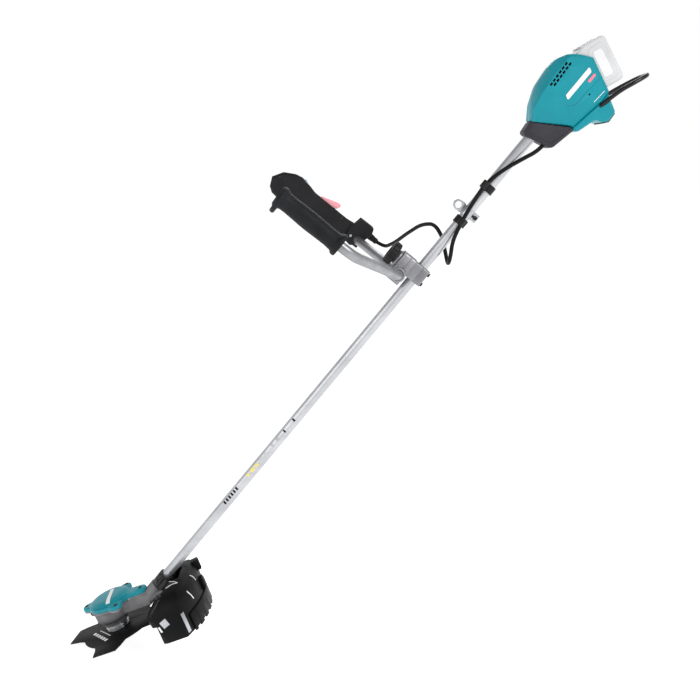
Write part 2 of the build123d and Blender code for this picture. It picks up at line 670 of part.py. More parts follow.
def battery_bay():
    """Room for the battery and for its way out upwards."""
    half = BATTERY_HALF + 1
    return battery_block((-BATTERY_LONG - 1, 160), (-1, 90), (-half, half))


def housing_shell(side):
    body = housing_form(0) - (housing_form(HOUSING_WALL) - battery_block((-200, 200), (-5, 90), (-60, 60)))
    body -= battery_bay()
    y = (-60, -0.05) if side < 0 else (0.05, 60)
    body = body & block((350, 650), y, (-150, 100))
    body -= rod((370, 0, 0), (500, 0, 0), PIPE_R + CLEAR)
    body -= battery_block((-75, -15), (-6, 2), (-26, 26))
    body -= loop_run(LOOP_R + CLEAR)
    for x, z, seat in HOUSING_SCREWS:
        body += (rod((x, -seat - 6, z), (x, seat + 6, z), 4.5) & block((350, 650), y, (-150, 100)))
        body -= rod((x, -60, z), (x, 60, z), 1.6) + rod((x, -60, z), (x, -seat, z), 3.5)
    return body


def housing_screws():
    return group([screw((x, -seat - 0.05, z), (0, 1, 0), 50, 1.5, 3.2, 2) for x, z, seat in HOUSING_SCREWS])


def housing_base_cover():
    body = prism(COVER_OUTLINE, -40, 40)
    body = chamfer(body.edges().group_by(Axis.Y)[0] + body.edges().group_by(Axis.Y)[-1], 4)
    inner = offset(make_face(Polyline(*[(x, -37, z) for x, z in COVER_OUTLINE], close=True)), -3,
                   kind=Kind.INTERSECTION)
    body -= extrude(inner, amount=74, dir=(0, 1, 0))
    body -= battery_bay()
    return body - loop_run(LOOP_R + CLEAR)


def nose_boot():
    """Rubber boot that closes the housing round the pipe and the cable."""
    plan = slab([(370, -24), (404, -32.5), (440, -40), (460, -41), (460, 41), (440, 40), (404, 32.5), (370, 24)],
                -80, 40)
    body = prism(BOOT_OUTLINE, -45, 45) & plan
    room = extrude(offset(flat_face(BOOT_OUTLINE, -21), -4, kind=Kind.INTERSECTION), amount=42, dir=(0, 1, 0))
    body -= room + Pos(9, 0, 0) * room
    body -= rod((360, 0, 0), (470, 0, 0), PIPE_R + CLEAR)
    return body - CABLE_ROOM


def loop_run(r):
    """Bent rod behind the battery that keeps it off the ground."""
    half = [(512, 35, -67), (538, 40, -71.5), (566, 44, -78), (598, 44.5, -91), (629, 28, -104)]
    points = [(x, -y, z) for x, y, z in half] + list(reversed(half))
    return pipe_along(points, arc_radii(points), r)


def rear_guard_loop():
    return loop_run(LOOP_R)


def terminal_block():
    body = battery_block((-72, -18), (-4.8, -1.2), (-25, 25)) + battery_block((-70, -22), (-1.3, 7), (-17, 17))
    for y in (-12, -4, 4, 12):
        body -= battery_block((-66, -10), (2, 8), (y - 1.4, y + 1.4))
    return body


def battery_contacts():
    return group([battery_block((-62, -30), (2.05, 6), (y - 0.8, y + 0.8)) for y in (-12, -4, 4, 12)])


def controller_module():
    body = block((478, 520), (-32, 32), (-46, 44))
    for i in range(9):
        body -= block((474, 484), (-28 + 7 * i - 1.5, -28 + 7 * i + 1.5), (-40, 38))
    return body


for side, name in ((-1, "housing_left_shell"), (1, "housing_right_shell")):
    nodes[name] = housing_shell(side)
for make in (housing_screws, housing_base_cover, nose_boot, rear_guard_loop, terminal_block,
             battery_contacts, controller_module):
    nodes[make.__name__] = make()


# ---------------------------------------------------------------- battery
def battery_case():
    half = BATTERY_HALF
    body = battery_block((-BATTERY_LONG, 0), (0, BATTERY_THICK), (-half, half))
    body = chamfer(body.edges().group_by(Axis.Y)[0] + body.edges().group_by(Axis.Y)[-1], 4)
    body -= battery_block((-BATTERY_LONG + 3, -3), (12, BATTERY_THICK - 3), (-half + 3, half - 3))
    body -= battery_block((-BATTERY_LONG - 5, -14), (-5, 8.5), (-18.5, 18.5))
    return body - battery_block((-24, 5), (BATTERY_THICK - 9, BATTERY_THICK + 5), (-16, 16))


def battery_cells():
    cells = []
    for back in (24, 46.5):
        for i in range(4):
            up = -BATTERY_LONG + 15 + 23.5 * i
            a, b = along_battery(up, back, -34), along_battery(up, back, 34)
            cells.append(rod(a, b, 10.5))
    return group(cells)


def battery_release_button():
    return battery_block((-19.6, -5), (BATTERY_THICK - 8.6, BATTERY_THICK + 1.5), (-15.6, 15.6))


for make in (battery_case, battery_cells, battery_release_button):
    nodes[make.__name__] = make()


# ---------------------------------------------------------------- carried position and files
CARRIED = Rot(0, -SHAFT_RISE, 0) * Pos(-EYE_X, 0, -EYE_Z)


def check_cable():
    runs = sum((Vector(*b) - Vector(*a)).length for a, b in zip(CABLE_POINTS, CABLE_POINTS[1:]))
    path = FilletPolyline(*CABLE_POINTS, radius=arc_radii(CABLE_POINTS))
    volume = nodes["control_cable"].volume
    print("cable arcs", [round(r) for r in arc_radii(CABLE_POINTS)])
    print("cable runs", round(runs), "length", round(path.length), "by volume",
          round(volume / (pi * CABLE_R ** 2)))


os.makedirs("parts", exist_ok=True)
check_cable()
for name, shape in nodes.items():
    export_step(CARRIED * shape, f"parts/{name}.step")
print(len(nodes), "nodes")
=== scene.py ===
"""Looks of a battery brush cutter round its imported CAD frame: detailed pieces, finishes, light and camera."""

import json
import math

import bmesh
import bpy
from mathutils import Matrix, Vector
from mathutils.bvhtree import BVHTree


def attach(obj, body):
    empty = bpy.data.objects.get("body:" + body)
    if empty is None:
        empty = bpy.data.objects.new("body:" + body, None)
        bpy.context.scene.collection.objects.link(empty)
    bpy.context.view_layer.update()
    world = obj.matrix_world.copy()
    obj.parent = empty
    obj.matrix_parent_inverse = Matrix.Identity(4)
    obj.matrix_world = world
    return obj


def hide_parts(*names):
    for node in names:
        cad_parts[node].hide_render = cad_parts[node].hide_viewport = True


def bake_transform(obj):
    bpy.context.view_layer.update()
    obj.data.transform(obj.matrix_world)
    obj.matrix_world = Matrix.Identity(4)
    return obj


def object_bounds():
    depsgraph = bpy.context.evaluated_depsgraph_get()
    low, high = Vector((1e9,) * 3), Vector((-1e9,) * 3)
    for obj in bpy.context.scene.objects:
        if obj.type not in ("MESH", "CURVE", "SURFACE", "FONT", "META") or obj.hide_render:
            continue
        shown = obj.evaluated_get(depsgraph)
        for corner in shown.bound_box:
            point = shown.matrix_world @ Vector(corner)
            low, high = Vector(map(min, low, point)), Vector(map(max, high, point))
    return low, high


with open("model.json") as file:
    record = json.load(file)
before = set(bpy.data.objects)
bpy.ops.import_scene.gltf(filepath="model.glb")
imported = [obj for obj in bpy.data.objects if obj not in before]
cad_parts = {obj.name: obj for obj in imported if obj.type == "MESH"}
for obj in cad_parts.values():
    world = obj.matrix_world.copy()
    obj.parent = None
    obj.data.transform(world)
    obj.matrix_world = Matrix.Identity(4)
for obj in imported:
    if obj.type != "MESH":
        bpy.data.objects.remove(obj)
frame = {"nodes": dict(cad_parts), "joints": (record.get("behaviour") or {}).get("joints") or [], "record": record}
cad_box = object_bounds()

# ---------------------------------------------------------------- places, from the frame's joints
# Shapes are drawn in millimetres in two frames. In the shaft frame X runs along the pipe to the rear,
# Y to the user's right and Z to the handle, from the pipe's axis under the handle clamp. In the head
# frame X runs rearwards in the blade's plane and Z up the spindle, from the blade's centre.
MM = 0.001
JOINTS = {joint["name"]: joint for joint in frame["joints"]}
CLAMP_TOP = 20.0                     # the handle turns on the pipe clamp, this far above the pipe's axis


def axes_at(joint, drop):
    """Frame in millimetres whose Z is the joint's axis and whose origin lies drop below the joint's point."""
    up = Vector(JOINTS[joint]["axis"]).normalized()
    across = Vector((0.0, 1.0, 0.0))
    along = across.cross(up)
    origin = Vector(JOINTS[joint]["pos_m"]) - up * drop * MM
    turn = Matrix((along, across, up)).transposed().to_4x4()
    return Matrix.Translation(origin) @ turn @ Matrix.Scale(MM, 4)


SHAFT = axes_at("handle_swivel", CLAMP_TOP)
HEAD = axes_at("cutter_spin", 0.0)
PIPE_R = 12.0
PIPE_ROOM = 0.3                      # between the pipe and the holes it runs through


# ---------------------------------------------------------------- mesh helpers
DOUBLED = 0.00001                    # points nearer than this, in metres, are one point
FLAT = 0.8                           # faces that meet at less than this angle are one face


def link(piece):
    bpy.context.scene.collection.objects.link(piece)
    return piece


def solid(name, points, faces, place):
    """Mesh from points in a place's frame, its normals outwards."""
    mesh = bpy.data.meshes.new(name)
    mesh.from_pydata([place @ Vector(point) for point in points], [], faces)
    piece = link(bpy.data.objects.new(name, mesh))
    form = bmesh.new()
    form.from_mesh(mesh)
    bmesh.ops.recalc_face_normals(form, faces=form.faces)
    form.to_mesh(mesh)
    form.free()
    return piece


def loft(name, rings, place, start=True, end=True):
    """Skin over rings of equally many points, capped at its ends unless told otherwise."""
    count = len(rings[0])
    points = [point for ring in rings for point in ring]
    faces = []
    for i in range(len(rings) - 1):
        low, high = i * count, (i + 1) * count
        for j in range(count):
            k = (j + 1) % count
            faces.append((low + j, low + k, high + k, high + j))
    if start:
        faces.append(tuple(reversed(range(count))))
    if end:
        faces.append(tuple(range(len(points) - count, len(points))))
    return solid(name, points, faces, place)


def turned(name, profile, place, steps=72):
    """Profile of radius, height points turned about the place's Z axis."""
    rings = []
    for r, z in profile:
        ring = []
        for i in range(steps):
            a = 2 * math.pi * i / steps
            ring.append((r * math.cos(a), r * math.sin(a), z))
        rings.append(ring)
    return loft(name, rings, place)


def box(name, x, y, z, place):
    """Block between two limits on each axis."""
    corners = [(x[0], y[0]), (x[1], y[0]), (x[1], y[1]), (x[0], y[1])]
    return loft(name, [[(a, b, height) for a, b in corners] for height in z], place)


def rod(name, a, b, r, place, steps=32):
    """Round bar from point a to point b."""
    a, b = Vector(a), Vector(b)
    turn = (b - a).to_track_quat("Z", "Y").to_matrix().to_4x4()
    length = (b - a).length
    return turned(name, [(r, 0.0), (r, length)], place @ Matrix.Translation(a) @ turn, steps)


def prism(name, outline, y, place):
    """Outline of X, Z points pushed between two values of Y."""
    return loft(name, [[(a, side, c) for a, c in outline] for side in y], place)


def bake(piece):
    """Applies the piece's modifiers."""
    graph = bpy.context.evaluated_depsgraph_get()
    mesh = bpy.data.meshes.new_from_object(piece.evaluated_get(graph))
    piece.modifiers.clear()
    piece.data = mesh
    return piece


def cut(piece, *tools):
    """Takes the tools away from the piece, and removes them."""
    for tool in tools:
        change = piece.modifiers.new("difference", "BOOLEAN")
        change.operation = "DIFFERENCE"
        change.solver = "EXACT"
        change.object = tool
    bake(piece)
    for tool in tools:
        bpy.data.objects.remove(tool)
    return piece


def hollow(piece, wall):
    """Gives an open skin a wall inwards."""
    change = piece.modifiers.new("wall", "SOLIDIFY")
    change.thickness = wall * MM
    change.offset = -1.0
    change.use_even_offset = True
    return bake(piece)


def clean(piece):
    """Merges doubled points and flat neighbours, so that edges can be broken evenly."""
    form = bmesh.new()
    form.from_mesh(piece.data)
    bmesh.ops.remove_doubles(form, verts=form.verts, dist=DOUBLED)
    bmesh.ops.dissolve_limit(form, angle_limit=math.radians(FLAT), verts=form.verts, edges=form.edges)
    form.to_mesh(piece.data)
    form.free()
    if "custom_normal" in piece.data.attributes:
        piece.data.attributes.remove(piece.data.attributes["custom_normal"])
    return piece


def smooth(piece, angle=32.0):
    """Smooth shading, sharp only where faces meet at more than the angle."""
    piece.data.shade_smooth()
    piece.data.set_sharp_from_angle(angle=math.radians(angle))
    return piece


def broken_edges(piece, width, angle=32.0, segments=2):
    """Rounds the edges that are sharper than the angle, width in millimetres."""
    clean(piece)
    change = piece.modifiers.new("edges", "BEVEL")
    change.width = width * MM
    change.segments = segments
    change.limit_method = "ANGLE"
    change.angle_limit = math.radians(angle)
    change.miter_outer = "MITER_ARC"
    change.use_clamp_overlap = True
    bake(piece)
    return smooth(piece, 40.0)


def copy_of(node):
    """The CAD node's own shape as a new piece."""
    piece = link(bpy.data.objects.new(node + "_fine", frame["nodes"][node].data.copy()))
    piece.data.materials.clear()
    return piece


# ---------------------------------------------------------------- outlines
ARC_STEPS = 5                        # of each rounded corner
RIM_STEPS = 4                        # of each quarter round rim


def turn_at(a, b, c):
    """Signed turn of the path a-b-c at b, in radians."""
    u = (b[0] - a[0], b[1] - a[1])
    v = (c[0] - b[0], c[1] - b[1])
    return math.atan2(u[0] * v[1] - u[1] * v[0], u[0] * v[0] + u[1] * v[1])


def rounded(corners):
    """Closed outline of (x, z, radius) corners, with each corner as an arc of ARC_STEPS + 1 points."""
    outline = []
    count = len(corners)
    for i, (x, z, r) in enumerate(corners):
        a, c = corners[i - 1], corners[(i + 1) % count]
        to_a = Vector((a[0] - x, a[1] - z))
        to_c = Vector((c[0] - x, c[1] - z))
        half = abs(turn_at(a, (x, z), c)) / 2
        reach = min(r * math.tan(half), 0.48 * to_a.length, 0.48 * to_c.length)
        start = Vector((x, z)) + to_a.normalized() * reach
        finish = Vector((x, z)) + to_c.normalized() * reach
        corner = Vector((x, z))
        weight = math.cos(half)
        for k in range(ARC_STEPS + 1):
            t = k / ARC_STEPS
            top = start * (1 - t) ** 2 + corner * 2 * weight * t * (1 - t) + finish * t ** 2
            share = (1 - t) ** 2 + 2 * weight * t * (1 - t) + t ** 2
            outline.append(tuple(top / share))
    return outline


def inset(corners, distance):
    """The (x, z, radius) corners moved inwards by an even distance."""
    area = sum(a[0] * b[1] - b[0] * a[1] for a, b in zip(corners, corners[1:] + corners[:1]))
    side = 1.0 if area > 0 else -1.0
    moved = []
    for i, (x, z, r) in enumerate(corners):
        a, c = corners[i - 1], corners[(i + 1) % len(corners)]
        u = Vector((x - a[0], z - a[1])).normalized()
        v = Vector((c[0] - x, c[1] - z)).normalized()
        inward = Vector((-u[1] - v[1], u[0] + v[0])).normalized() * side
        turn = turn_at(a, (x, z), c) * side
        reach = distance / max(math.cos(turn / 2), 0.3)
        radius = r - distance if turn > 0 else r + distance
        moved.append((x + inward[0] * reach, z + inward[1] * reach, max(radius, 0.6)))
    return moved


def moulded(name, corners, y, edge, place):
    """Outline pushed between two values of Y with quarter round rims."""
    low, high = y
    angles = [math.pi / 2 * k / RIM_STEPS for k in range(RIM_STEPS + 1)]
    rims = [(edge * (1 - math.sin(a)), low + edge * (1 - math.cos(a))) for a in angles]
    rims += [(edge * (1 - math.cos(a)), high - edge * (1 - math.sin(a))) for a in angles]
    skin = []
    for depth, side in rims:
        skin.append([(a, side, c) for a, c in rounded(inset(corners, depth))])
    return loft(name, skin, place)


# ---------------------------------------------------------------- finishes
COAT_ROUGHNESS = 0.15
WORN_RADIUS = 0.7                    # reach of the rubbing from an edge


class Finish:
    """A Principled material whose tone, roughness and relief come from procedural nodes."""

    def __init__(self, name, metallic=0.0, coat=0.0, specular=0.5):
        self.material = bpy.data.materials.new(name)
        self.material.use_nodes = True
        self.tree = self.material.node_tree
        self.shader = self.tree.nodes["Principled BSDF"]
        self.shader.inputs["Metallic"].default_value = metallic
        self.shader.inputs["Coat Weight"].default_value = coat
        self.shader.inputs["Coat Roughness"].default_value = COAT_ROUGHNESS
        self.shader.inputs["Specular IOR Level"].default_value = specular
        self.place = self.tree.nodes.new("ShaderNodeTexCoord").outputs["Object"]

    def node(self, kind, **settings):
        made = self.tree.nodes.new("ShaderNode" + kind)
        for key, value in settings.items():
            setattr(made, key, value)
        return made

    def link(self, source, target):
        self.tree.links.new(source, target)

    def stretched(self, stretch, turn=(0.0, 0.0, 0.0)):
        """Object coordinates turned and scaled, for a grain that runs one way."""
        mapping = self.node("Mapping")
        mapping.inputs["Rotation"].default_value = turn
        mapping.inputs["Scale"].default_value = stretch
        self.link(self.place, mapping.inputs["Vector"])
        return mapping.outputs["Vector"]

    def noise(self, scale, detail=4.0, place=None, distortion=0.0):
        made = self.node("TexNoise")
        made.inputs["Scale"].default_value = scale
        made.inputs["Detail"].default_value = detail
        made.inputs["Distortion"].default_value = distortion
        self.link(place or self.place, made.inputs["Vector"])
        return made.outputs["Fac"]

    def ramp(self, factor, stops):
        """Colour ramp over a factor; the stops are (position, colour)."""
        made = self.node("ValToRGB")
        elements = made.color_ramp.elements
        while len(elements) < len(stops):
            elements.new(0.5)
        for element, (position, color) in zip(elements, stops):
            element.position = position
            element.color = (*color, 1.0)
        self.link(factor, made.inputs["Fac"])
        return made.outputs["Color"]

    def spread(self, factor, low, high, start=0.3, stop=0.7):
        """A factor's range from start to stop mapped onto low to high."""
        made = self.node("MapRange")
        made.inputs["From Min"].default_value = start
        made.inputs["From Max"].default_value = stop
        made.inputs["To Min"].default_value = low
        made.inputs["To Max"].default_value = high
        self.link(factor, made.inputs["Value"])
        return made.outputs["Result"]

    def mix(self, factor, a, b):
        """Two colours mixed by a factor; each is a colour or an output."""
        made = self.node("Mix", data_type="RGBA", blend_type="MIX")
        self.link(factor, made.inputs["Factor"])
        for value, socket in ((a, made.inputs["A"]), (b, made.inputs["B"])):
            if isinstance(value, tuple):
                socket.default_value = (*value, 1.0)
            else:
                self.link(value, socket)
        return made.outputs["Result"]

    def color(self, output):
        self.link(output, self.shader.inputs["Base Color"])

    def roughness(self, output):
        self.link(output, self.shader.inputs["Roughness"])

    def relief(self, height, depth):
        """Bump of a depth in millimetres."""
        bump = self.node("Bump")
        bump.inputs["Distance"].default_value = depth * MM
        bump.inputs["Strength"].default_value = 1.0
        self.link(height, bump.inputs["Height"])
        self.link(bump.outputs["Normal"], self.shader.inputs["Normal"])

    def worn(self, base, bare):
        """Base colour with its edges rubbed towards a bare colour, in patches."""
        edge = self.node("Bevel", samples=4)
        edge.inputs["Radius"].default_value = WORN_RADIUS * MM
        flat = self.node("VectorMath", operation="DOT_PRODUCT")
        self.link(edge.outputs["Normal"], flat.inputs[0])
        self.link(self.node("NewGeometry").outputs["Normal"], flat.inputs[1])
        patch = self.spread(self.noise(90.0), 0.0, 0.8, 0.4, 0.62)
        both = self.node("Math", operation="MULTIPLY")
        self.link(self.spread(flat.outputs["Value"], 0.0, 1.0, 0.99, 0.8), both.inputs[0])
        self.link(patch, both.inputs[1])
        return self.mix(both.outputs["Value"], base, bare)


def moulded_plastic(name, dark, light, rough, grain=2600.0, depth=0.02, coat=0.0, edge=None, specular=0.3):
    """Injection moulded plastic: faint flow marks in its tone, a fine spark texture, rubbed edges."""
    finish = Finish(name, coat=coat, specular=specular)
    tone = finish.ramp(finish.noise(14.0, 3.0, distortion=0.4), [(0.3, dark), (0.7, light)])
    if edge is not None:
        tone = finish.worn(tone, edge)
    finish.color(tone)
    finish.roughness(finish.spread(finish.noise(60.0, 5.0), rough[0], rough[1]))
    finish.relief(finish.noise(grain, 2.0), depth)
    return finish.material


def metal(name, dark, light, rough, grain, depth, stretch=(1.0, 1.0, 1.0), turn=(0.0, 0.0, 0.0), metallic=1.0,
          edge=None, specular=0.5):
    """Bare or plated metal with a grain, stretched along the way it was drawn or cast evenly."""
    finish = Finish(name, metallic=metallic, specular=specular)
    place = finish.stretched(stretch, turn)
    tone = finish.ramp(finish.noise(30.0, 6.0, place), [(0.32, dark), (0.68, light)])
    if edge is not None:
        tone = finish.worn(tone, edge)
    finish.color(tone)
    finish.roughness(finish.spread(finish.noise(grain * 0.3, 4.0, place), rough[0], rough[1]))
    finish.relief(finish.noise(grain, 3.0, place), depth)
    return finish.material


def rubber(name, dark, light, rough, pattern=900.0, depth=0.05):
    """Soft rubber with a pebbled surface."""
    finish = Finish(name, specular=0.14)
    finish.color(finish.ramp(finish.noise(22.0, 4.0), [(0.3, dark), (0.7, light)]))
    finish.roughness(finish.spread(finish.noise(80.0, 4.0), rough[0], rough[1]))
    cells = finish.node("TexVoronoi")
    cells.inputs["Scale"].default_value = pattern
    finish.link(finish.place, cells.inputs["Vector"])
    finish.relief(cells.outputs["Distance"], depth)
    return finish.material


SHAFT_TURN = (0.0, -SHAFT.to_euler().y, 0.0)
MATERIALS = {
    "teal": moulded_plastic("teal_plastic", (0.003, 0.225, 0.275), (0.004, 0.262, 0.318), (0.32, 0.44),
                            depth=0.012, coat=0.05, edge=(0.03, 0.4, 0.46), specular=0.25),
    "black": moulded_plastic("black_nylon", (0.006, 0.006, 0.007), (0.011, 0.011, 0.0125), (0.42, 0.56),
                             depth=0.03, edge=(0.035, 0.035, 0.039), specular=0.2),
    "guard": moulded_plastic("guard_nylon", (0.002, 0.002, 0.0022), (0.0045, 0.0045, 0.005), (0.38, 0.52),
                             depth=0.03, edge=(0.02, 0.02, 0.022), specular=0.12),
    "boot": rubber("boot_rubber", (0.03, 0.029, 0.036), (0.043, 0.042, 0.05), (0.5, 0.64)),
    "grip": rubber("grip_rubber", (0.0085, 0.009, 0.0105), (0.015, 0.016, 0.0185), (0.46, 0.6), 700.0, 0.07),
    "cable": rubber("cable_sheath", (0.004, 0.004, 0.0045), (0.008, 0.008, 0.009), (0.34, 0.46),
                    1500.0, 0.02),
    "pipe": metal("pipe_aluminium", (0.44, 0.45, 0.47), (0.54, 0.55, 0.57), (0.26, 0.36), 900.0, 0.006,
                  (0.03, 1.0, 1.0), SHAFT_TURN, metallic=0.75),
    "bar": metal("bar_aluminium", (0.26, 0.265, 0.28), (0.36, 0.365, 0.38), (0.3, 0.42), 1400.0, 0.01,
                 metallic=0.85),
    "cast": metal("cast_alloy", (0.22, 0.22, 0.235), (0.34, 0.34, 0.355), (0.38, 0.55), 1300.0, 0.06,
                  metallic=0.85, edge=(0.66, 0.66, 0.68)),
    "case": metal("case_alloy", (0.14, 0.135, 0.14), (0.21, 0.205, 0.21), (0.44, 0.6), 1500.0, 0.05,
                  metallic=0.5, edge=(0.42, 0.42, 0.44)),
    "fastener": metal("black_steel", (0.02, 0.02, 0.022), (0.05, 0.05, 0.054), (0.3, 0.46), 2400.0, 0.02,
                      edge=(0.3, 0.3, 0.32)),
    "plated": metal("plated_steel", (0.36, 0.37, 0.39), (0.52, 0.53, 0.55), (0.24, 0.36), 1500.0, 0.02,
                    edge=(0.9, 0.9, 0.9)),
    "core": metal("core_steel", (0.2, 0.21, 0.22), (0.34, 0.35, 0.37), (0.35, 0.5), 1200.0, 0.03,
                  (1.0, 1.0, 12.0)),
    "blade": metal("blade_paint", (0.005, 0.005, 0.0055), (0.009, 0.009, 0.01), (0.48, 0.6), 1600.0, 0.02,
                   metallic=0.0, edge=(0.2, 0.2, 0.21), specular=0.1),
    "coat": moulded_plastic("powder_coat", (0.004, 0.004, 0.0045), (0.008, 0.008, 0.009), (0.16, 0.26),
                            1800.0, 0.02, coat=0.1),
    "red": moulded_plastic("lever_pink", (0.78, 0.3, 0.33), (0.86, 0.4, 0.43), (0.3, 0.42),
                           edge=(0.6, 0.08, 0.1)),
    "pale": moulded_plastic("button_pale", (0.42, 0.56, 0.66), (0.55, 0.68, 0.76), (0.3, 0.4)),
    "pack": moulded_plastic("pack_shell", (0.5, 0.51, 0.515), (0.6, 0.61, 0.615), (0.3, 0.44), depth=0.03,
                            edge=(0.8, 0.8, 0.8)),
    "wrap": moulded_plastic("cell_wrap", (0.06, 0.14, 0.3), (0.09, 0.2, 0.38), (0.25, 0.35)),
    "copper": metal("winding_copper", (0.5, 0.2, 0.08), (0.7, 0.33, 0.15), (0.28, 0.4), 800.0, 0.05,
                    (1.0, 1.0, 9.0)),
    "mark": moulded_plastic("white_print", (0.8, 0.8, 0.8), (0.86, 0.86, 0.86), (0.45, 0.55)),
    "pale_pack": moulded_plastic("pack_panel", (0.66, 0.66, 0.67), (0.74, 0.74, 0.75), (0.26, 0.36)),
    "label": moulded_plastic("grey_label", (0.4, 0.41, 0.43), (0.55, 0.56, 0.58), (0.35, 0.5)),
    "amber": moulded_plastic("amber_print", (0.75, 0.6, 0.12), (0.82, 0.68, 0.2), (0.45, 0.55)),
    "pink": moulded_plastic("badge_print", (0.72, 0.16, 0.24), (0.8, 0.22, 0.3), (0.4, 0.5)),
}


def show(piece, body, look, replaces=()):
    """Gives a finished piece its material and body, and the CAD nodes that it stands for."""
    piece.data.materials.clear()
    piece.data.materials.append(MATERIALS[look])
    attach(piece, body)
    if replaces:
        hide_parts(*replaces)
    return piece


BODY_OF = {node: body for body, nodes in frame["record"]["behaviour"]["bodies"].items() for node in nodes}


def refine(node, look, width):
    """The CAD node's shape with its edges broken, shown in the node's place."""
    piece = broken_edges(copy_of(node), width)
    return show(piece, BODY_OF[node], look, [node])


def carry(node, look):
    """The CAD node itself, with a better finish."""
    piece = frame["nodes"][node]
    piece.data.materials.clear()
    piece.data.materials.append(MATERIALS[look])


# ---------------------------------------------------------------- rear housing
# Each corner of the shells: X, Z and radius of the outline, the same of the side's rim, and how far
# the outline's edge lies in from the side. The long edge over the vents is a broad facet.
SHELL = [
    (401, 27, 4, 402, 22, 3, 12),
    (430, 49, 30, 421, 37.5, 16, 26),
    (463, 63.5, 50, 460, 46.4, 60, 35),
    (505, 68.3, 50, 503, 49.8, 60, 36),
    (532, 66, 24, 531, 50.8, 30, 28),
    (548, 57, 16, 546, 50.2, 6, 9),
    (557, 46, 40, 553.5, 42, 30, 4),
    (566, 32, 40, 562.5, 29.5, 30, 3),
    (576, 11, 4, 573.5, 11, 3, 2.4),
    (547, -61, 5, 545, -57, 3, 4),
    (522, -62, 30, 522, -57.5, 24, 5),
    (446, -51, 4, 448, -47, 4, 6),
]
HOUSING_HALF = 44.5
CROWN = 1.2                          # how far a side face swells in its middle
SHARES = (0.985, 0.93, 0.82, 0.66, 0.48, 0.3, 0.12)      # sizes of a side face's rings to its rim
EVEN_PASSES = 6                      # passes that even out a shoulder's depth
WIDTHS = [(366, 24.0), (400, 33.0), (433, 39.8), (470, HOUSING_HALF), (620, HOUSING_HALF)]  # X, half width


def half_width(x):
    """Half width of the housing at X, in straight stretches between the WIDTHS."""
    for (x0, w0), (x1, w1) in zip(WIDTHS, WIDTHS[1:]):
        if x <= x1:
            t = max(0.0, min(1.0, (x - x0) / (x1 - x0)))
            return w0 + (w1 - w0) * t
    return WIDTHS[-1][1]


def shell_side(rows, side, trim=0.0, split=0.05):
    """Rings of one side of the housing, from the split plane out to the middle of the side face."""
    outline = rounded([row[0:3] for row in rows])
    rim = rounded([row[3:6] for row in rows])
    drops = [row[6] for row in rows for _ in range(ARC_STEPS + 1)]
    shoulder = []
    for (x, z), drop in zip(outline, drops):
        shoulder.append((x, side * (half_width(x) - trim - drop), z))
    rings = [[(x, side * split, z) for x, z in outline], shoulder]
    rings.append([(x, side * (half_width(x) - trim), z) for x, z in rim])
    cx = sum(x for x, z in rim) / len(rim)
    cz = sum(z for x, z in rim) / len(rim)
    for share in SHARES:
        crown = CROWN * (1 - share ** 2)
        ring = []
        for x, z in rim:
            x, z = cx + (x - cx) * share, cz + (z - cz) * share
            ring.append((x, side * (half_width(x) - trim + crown - CROWN), z))
        rings.append(ring)
    return rings


def even_drops(rings):
    """Smooths the shoulder ring's depth round the outline, so that facets run into each other."""
    shoulder = rings[1]
    count = len(shoulder)
    for _ in range(EVEN_PASSES):
        ys = [y for _, y, _ in shoulder]
        shoulder = [(x, (ys[i - 1] + 2 * ys[i] + ys[(i + 1) % count]) / 4, z)
                    for i, (x, _, z) in enumerate(shoulder)]
    rings[1] = shoulder
    return rings


BATTERY = Vector((0.36, 0.0, 0.933)).normalized()       # way up along the battery's slide
BACK = Vector((BATTERY.z, 0.0, -BATTERY.x))             # away from the housing, across the slide
PACK_CORNER = Vector((626.0, 0.0, 26.0))                # the pack's rear top edge
PACK_LONG, PACK_THICK, PACK_HALF = 100.0, 68.0, 38.5
PACK = SHAFT @ Matrix.Translation(PACK_CORNER - BACK * PACK_THICK) @ Matrix(
    (BACK, (0.0, 1.0, 0.0), BATTERY)).transposed().to_4x4()
VENT_ROWS = ((481.5, 43.2, 0.07), (486.0, 37.2, 0.055))     # first slot's X and Z, rise of the row
VENT_PITCH, VENTS_PER_ROW = 9.9, 6
VENT = [(-4.2, -2.3), (3.0, -2.3), (4.2, 2.3), (-3.0, 2.3)]


def battery_bay(back):
    """Cutter of the room that the battery slides in, reaching back behind its front face."""
    return box("bay", (-1.0, back), (-PACK_HALF - 1, PACK_HALF + 1), (-PACK_LONG - 1, 40.0), PACK)


def vent_slots(side):
    """Cutters of the two rows of slanted slots under the facet's crease."""
    tools = []
    for row, (x0, z0, rise) in enumerate(VENT_ROWS):
        for i in range(VENTS_PER_ROW):
            x, z = x0 + VENT_PITCH * i, z0 + rise * VENT_PITCH * i
            outline = [(x + dx, z + dz) for dx, dz in VENT]
            tools.append(prism(f"vent_{row}_{i}", outline, sorted((side * 36.0, side * 50.0)), SHAFT))
    return tools


def groove(name, points, width, depth, side):
    """Cutter of a narrow groove along X, Z points of the side face."""
    rings = []
    for i, point in enumerate(points):
        a, c = points[max(i - 1, 0)], points[min(i + 1, len(points) - 1)]
        along = Vector((c[0] - a[0], c[1] - a[1])).normalized()
        normal = Vector((-along[1], along[0])) * width / 2
        bottom = side * (HOUSING_HALF - depth)
        top = side * (HOUSING_HALF + 3)
        x, z = point
        rings.append([(x - normal[0], bottom, z - normal[1]), (x + normal[0], bottom, z + normal[1]),
                      (x + normal[0], top, z + normal[1]), (x - normal[0], top, z - normal[1])])
    return loft(name, rings, SHAFT)


SHELL_WALL = 2.6
PANEL_LINE = [(563, -26.2), (525, -24.6), (485, -23), (476, -19), (469, -11), (463, -2), (461, 13)]


